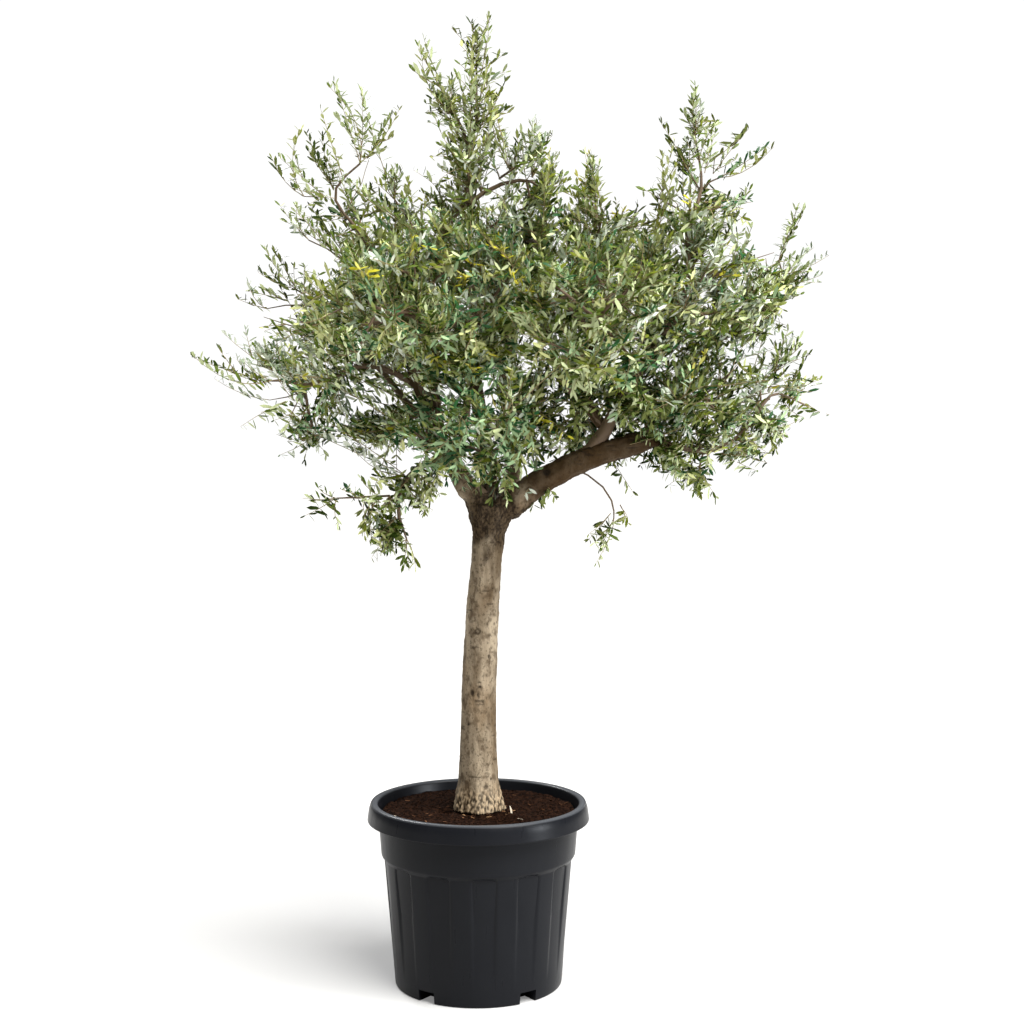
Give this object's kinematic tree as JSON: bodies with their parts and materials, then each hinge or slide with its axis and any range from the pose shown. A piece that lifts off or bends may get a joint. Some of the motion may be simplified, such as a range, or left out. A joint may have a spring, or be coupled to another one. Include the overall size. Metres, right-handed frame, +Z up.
{
  "type": "potted olive tree",
  "caption": "Young standard olive tree with one leaning stem, a wide open crown of leafy shoots, and a fluted round nursery pot filled with potting mix.",
  "frame": {"origin": "centre of the pot's flat underside, on the ground", "axes": "+Z up, -Y towards the front of the crown, +X towards the long right-hand bough"},
  "size_m": [1.4056, 0.9892, 2.151],
  "materials": {
    "pot_plastic": "satin",
    "potting_mix": "matte",
    "bark": "matte",
    "foliage": "satin"
  },
  "bodies": {
    "root": {"bough_back": "bark", "bough_centre": "bark", "bough_left": "bark", "bough_right": "bark", "foliage_back_centre": "foliage", "foliage_back_left": "foliage", "foliage_back_right": "foliage", "foliage_centre_left": "foliage", "foliage_centre_right": "foliage", "foliage_crest": "foliage", "foliage_front_cluster": "foliage", "foliage_front_left": "foliage", "foliage_front_right": "foliage", "foliage_heart": "foliage", "foliage_left_crest": "foliage", "foliage_left_low": "foliage", "foliage_left_shoulder": "foliage", "foliage_left_sprig": "foliage", "foliage_left_wing": "foliage", "foliage_low_centre": "foliage", "foliage_right_core": "foliage", "foliage_right_crest": "foliage", "foliage_right_hem": "foliage", "foliage_right_low": "foliage", "foliage_right_shoulder": "foliage", "foliage_right_skirt": "foliage", "foliage_right_sprig": "foliage", "foliage_right_wing": "foliage", "foliage_spire": "foliage", "pot": "pot_plastic", "potting_mix": "potting_mix", "trunk": "bark"}
  },
  "joints": []
}
